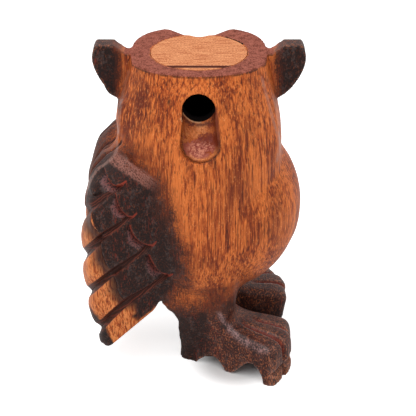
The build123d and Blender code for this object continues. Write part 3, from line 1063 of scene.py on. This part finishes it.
def layPlainWood(paint, grain):
    tone = 0.26 * grain.bands + 0.36 * grain.lines + 0.14 * grain.figure + 0.24 * grain.fine
    paint.layer("honey", tone.step(0.37, 0.48))
    paint.layer("amber", tone.step(0.440, 0.555))
    paint.layer("umber", 0.75 * grain.lines.step(0.46, 0.34) * grain.bands.step(0.62, 0.42))
    paint.layer("amber", paint.mark("bright") * (grain.figure + grain.specks).step(0.85, 1.15))
    paint.layer("umber", paint.mark("dusk") * (0.6 * grain.lines + 0.4 * grain.hair).step(0.68, 0.48))
    paint.layer("flame", 0.45 * grain.specks.step(0.53, 0.68) * grain.fine.step(0.46, 0.58))
    strand = grain.strands - 0.5
    broken = (grain.bands + grain.fine).step(1.18, 0.88)
    paint.layer("umber", 0.65 * (strand * strand).step(0.0012, 0.0002) * broken)
    paint.layer("pore", 0.6 * grain.hair.step(0.40, 0.30))
    paint.layer("pore", 0.6 * grain.pores.step(0.38, 0.28))


def layRamp(paint, grain):
    inRamp = paint.mark("inRamp")
    rampPinkSheen = paint.mark("rampPinkSheen")
    ragged = 1.8 * (grain.torn - 0.5) + 0.8 * (grain.fine - 0.5)
    paint.layer("rampBrown", 0.6 * inRamp)
    paint.layer("flame", 0.85 * paint.mark("rampFlame") * grain.fine.step(0.38, 0.54))
    # painted sheen: pink on the ramp's lower part, with pale painted highlights in it
    paint.layer("rampPinkSheen", inRamp * (rampPinkSheen + ragged).step(0.25, 0.55))
    paint.layer("rampRed", 0.85 * inRamp * (paint.mark("rampWine") + ragged).step(0.30, 0.75))
    light = (0.7 * grain.torn + 0.3 * grain.specks).step(0.46, 0.58)
    paint.layer("rampHighlight", 0.8 * rampPinkSheen.step(0.35, 0.9) * light)
    paint.layer("rampRed", 0.8 * rampPinkSheen * grain.torn.step(0.46, 0.37))
    # painted highlight on the facet at the ramp's lower end
    paint.layer("flame", 0.8 * paint.mark("facetHighlight") * grain.specks.step(0.32, 0.55))
    # painted shadow under the window's lip
    paint.layer("scorchAndShade", 0.9 * paint.mark("underLipShadow") * grain.torn.step(0.36, 0.50))
    # painted shade on the ramp's walls
    paint.layer("rampWallShade", 0.9 * paint.mark("rampWallShade"))
    paint.layer("groove", 0.9 * paint.mark("rampLine") * grain.specks.step(0.3, 0.5))
    # painted highlight on the window's lip
    paint.layer("cream", 0.85 * paint.mark("lipHighlight").step(0.35, 0.8))
    paint.layer("groove", 0.8 * (paint.mark("stain") + 1.2 * (grain.specks - 0.5)).step(0.4, 0.95))


def layBurn(paint, grain):
    # the burn mark also carries the painted shade under the belly
    burnAndShade = paint.mark("burnAndShade")
    footRed = paint.mark("footRed")
    fray = 0.45 * grain.specks + 0.3 * grain.fine + 0.25 * grain.lines - 0.5
    scorched = burnAndShade + 2.2 * fray * burnAndShade.step(0.02, 0.35) * burnAndShade.step(1.0, 0.85)
    paint.layer("scorchAndShade", 0.9 * scorched.step(0.0, 0.75))
    coal = Paint(paint.start, paint.colors, "charcoal")
    coal.layer("footBrown", footRed * (0.3 * grain.figure + 0.7 * grain.specks).step(0.36, 0.60))
    coal.layer("scorchAndShade", 0.35 * grain.specks.step(0.45, 0.65))
    # grey patches on the charcoal, partly a painted sheen
    coal.layer("ashAndSheen", 0.55 * (0.5 * grain.torn + 0.5 * grain.figure).step(0.50, 0.62))
    paint.layer(coal.wire, scorched.step(0.42, 0.95))
    paint.layer("fleck", 0.16 * grain.specks.step(0.58, 0.68) * grain.figure.step(0.42, 0.56) * burnAndShade)
    flecked = (0.75 * grain.specks + 0.25 * grain.figure).step(0.53, 0.63)
    paint.layer("fleck", 0.7 * footRed * burnAndShade * flecked)
    paint.layer("redEdge", 0.5 * burnAndShade * grain.pores.step(0.58, 0.68) * grain.bands.step(0.45, 0.60))


def layFeathers(paint, grain, place):
    tip = Paint(paint.start, paint.colors, "honey")
    tip.layer("paleTip", (0.5 * grain.lines + 0.5 * grain.fine).step(0.42, 0.56))
    tip.layer("umber", 0.75 * (0.6 * grain.lines + 0.4 * grain.hair).step(0.46, 0.36))
    tip.layer("pore", 0.6 * grain.pores.step(0.39, 0.29))
    paint.layer(tip.wire, paint.mark("pale").step(0.15, 0.85))
    paint.layer(tip.wire, paint.mark("wornToe") * grain.specks.step(0.35, 0.6))
    gap = paint.mark("gap")
    streaks = place.rake(carvedWood["grooveStreaks"], 1.5 * grain.figure)
    # painted shade beyond the middle tips
    paint.layer("groove", 0.9 * paint.mark("underTipShade"))
    paint.layer("groove", 0.95 * gap.step(0.2, 0.6))
    paint.layer("grooveRed", 0.8 * gap.step(0.1, 0.5) * streaks.step(0.50, 0.62))
    # painted highlight in the scoops
    paint.layer("scoopHighlightGrey", 0.8 * paint.mark("scoopHighlight") * grain.specks.step(0.36, 0.56))
    paint.layer("redEdge", 0.75 * paint.mark("scoopRed") * grain.specks.step(0.40, 0.55))
    paint.layer("redEdge", paint.mark("redLine").step(0.25, 0.75) * grain.specks.step(0.22, 0.5))
    paint.layer("toeRed", 0.85 * paint.mark("toeLine") * grain.specks.step(0.25, 0.5))
    # painted sheen on the wing's bevel, streaked by knife strokes
    knife = place.rake(carvedWood["bevelStrokes"], 1.5 * grain.figure + 4.0 * grain.fine)
    strokes = 0.45 * knife + 0.55 * grain.specks
    paint.layer("bevelSheenPink", paint.mark("bevelSheen") * strokes.step(0.36, 0.58))


def layWear(paint, grain):
    # worn edges, partly a painted highlight
    edgeWearAndSheen = paint.mark("edgeWearAndSheen")
    wear = edgeWearAndSheen * grain.specks.step(0.35, 0.6) * (1 - 0.8 * paint.mark("pale"))
    paint.layer("wornAndSheen", wear * (0.3 + 0.3 * paint.mark("footRed")))
    paint.layer("fleck", edgeWearAndSheen * grain.specks.step(0.52, 0.62) * paint.mark("burnAndShade"))
    # painted highlight along the ridges, in the pale worn colour
    ridge = paint.mark("ridge").step(0.3, 0.85)
    paint.layer("wornAndSheen", 0.55 * ridge * (grain.lines + grain.specks).step(0.8, 1.1))
    # painted highlight along the near foot's ridge
    paint.layer("shine", paint.mark("shine") * (0.5 * grain.specks + 0.5 * grain.figure).step(0.40, 0.60))
    # painted shade in hollows and creases
    paint.layer("groove", 0.6 * paint.mark("creaseShade"))
    # painted shade on the far foot's inner side
    paint.layer("shadeBlack", 0.8 * paint.mark("farFootShade"))


def laySawnTop(paint, grain, place):
    height = place.add("ShaderNodeSeparateXYZ", None, {0: place}, "Z")
    top = paint.mark("top")
    shade = height.step(*carvedWood["rimShade"]) * grain.figure.step(0.35, 0.55)
    paint.layer("groove", 0.75 * top * shade)
    sawn = Paint(paint.start, paint.colors, "endGrain")
    sawn.layer("endGrainDark", (0.6 * grain.dots + 0.4 * grain.figure).step(0.40, 0.62))
    flat = top * height.step(*carvedWood["sawnTop"])
    paint.layer(sawn.wire, flat)
    return flat


def carvedWoodMaterial():
    material, shader, start, place = newMaterial("carvedWood")
    grain = SimpleNamespace()
    for name, (across, along, detail, roughness) in carvedWood["grain"].items():
        setattr(grain, name, place.stretch(across, along).noise(detail, roughness))
    paint = Paint(start, carvedWood["colors"], "umber")
    layPlainWood(paint, grain)
    layRamp(paint, grain)
    layBurn(paint, grain)
    layFeathers(paint, grain, place)
    layWear(paint, grain)
    top = laySawnTop(paint, grain, place)
    # painted shade: the bore, the window and the crack beside the plug are black
    shadedHole = paint.mark("shadedHole").step(0.4, 0.6)
    paint.layer("shadeBlack", shadedHole)
    feed(paint.wire, shader, "Base Color")

    burnAndShade = paint.mark("burnAndShade")
    rough = 0.40 + 0.14 * grain.figure + 0.06 * burnAndShade
    rough = rough + (0.8 - rough) * top
    rough = rough + (1.0 - rough) * shadedHole
    feed(rough, shader, "Roughness")
    rubbed = 0.12 * paint.mark("footRed") + 0.5 * paint.mark("edgeWearAndSheen")
    rubbed = rubbed + 0.4 * paint.mark("ridge").step(0.3, 0.85) + 0.5 * paint.mark("shine")
    polish = (0.10 - 0.08 * burnAndShade + rubbed) * (1 - top) * (1 - shadedHole)
    feed(polish, shader, "Coat Weight")
    relief = 0.5 * grain.lines + 0.4 * grain.pores.step(0.29, 0.41) + 0.5 * grain.specks
    relief = relief + 1.2 * paint.mark("inRamp") * grain.torn
    bumpSize = {"Strength": carvedWood["bumpStrength"], "Distance": carvedWood["bumpDepth"]}
    feed(start.add("ShaderNodeBump", None, {**bumpSize, "Height": relief}), shader, "Normal")
    shader.inputs["Coat Roughness"].default_value = carvedWood["coatRoughness"]
    shader.inputs["Specular IOR Level"].default_value = carvedWood["specular"]
    return material


# Plug and slip: saw lines run across the sawn top, and a dark band runs along the kerf. Sizes are metres.

plugWood = {
    "colors": {
        "light": (0.80, 0.325, 0.130),
        "dark": (0.46, 0.115, 0.026),
        "kerf": (0.13, 0.024, 0.010),
    },
    "sawLine": (0.006, 0.0005, 0.004),
    "dot": (0.0005, 0.002),
    "kerfFront": (-0.0104, -0.0107),
    "kerfRear": (-0.0124, -0.0121),
    "kerfStray": 0.0006,
    "bumpStrength": 0.25,
    "bumpDepth": 0.0002,
}


def plugWoodMaterial():
    material, shader, start, place = newMaterial("plugWood")
    lines = place.vector("MULTIPLY", tuple(1 / size for size in plugWood["sawLine"])).noise(3.0, 0.6)
    dots = place.stretch(*plugWood["dot"]).noise(2.0, 0.6)
    paint = Paint(start, plugWood["colors"], "dark")
    paint.layer("light", (0.5 * lines + 0.5 * dots).step(0.42, 0.58))
    depth = start.add("ShaderNodeSeparateXYZ", None, {0: place}, "Y") + plugWood["kerfStray"] * (dots - 0.5)
    paint.layer("kerf", depth.step(*plugWood["kerfFront"]) * depth.step(*plugWood["kerfRear"]))
    feed(paint.wire, shader, "Base Color")
    feed(0.62 + 0.2 * dots, shader, "Roughness")
    bumpSize = {"Strength": plugWood["bumpStrength"], "Distance": plugWood["bumpDepth"]}
    feed(start.add("ShaderNodeBump", None, {**bumpSize, "Height": lines}), shader, "Normal")
    return material


piece = carveOwl()
piece.data.materials.clear()
piece.data.materials.append(carvedWoodMaterial())
plug = plugWoodMaterial()
for name in ("fipple_plug", "windway_slip"):
    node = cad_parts[name]
    node.data.materials.clear()
    node.data.materials.append(plug)
print("materials set")
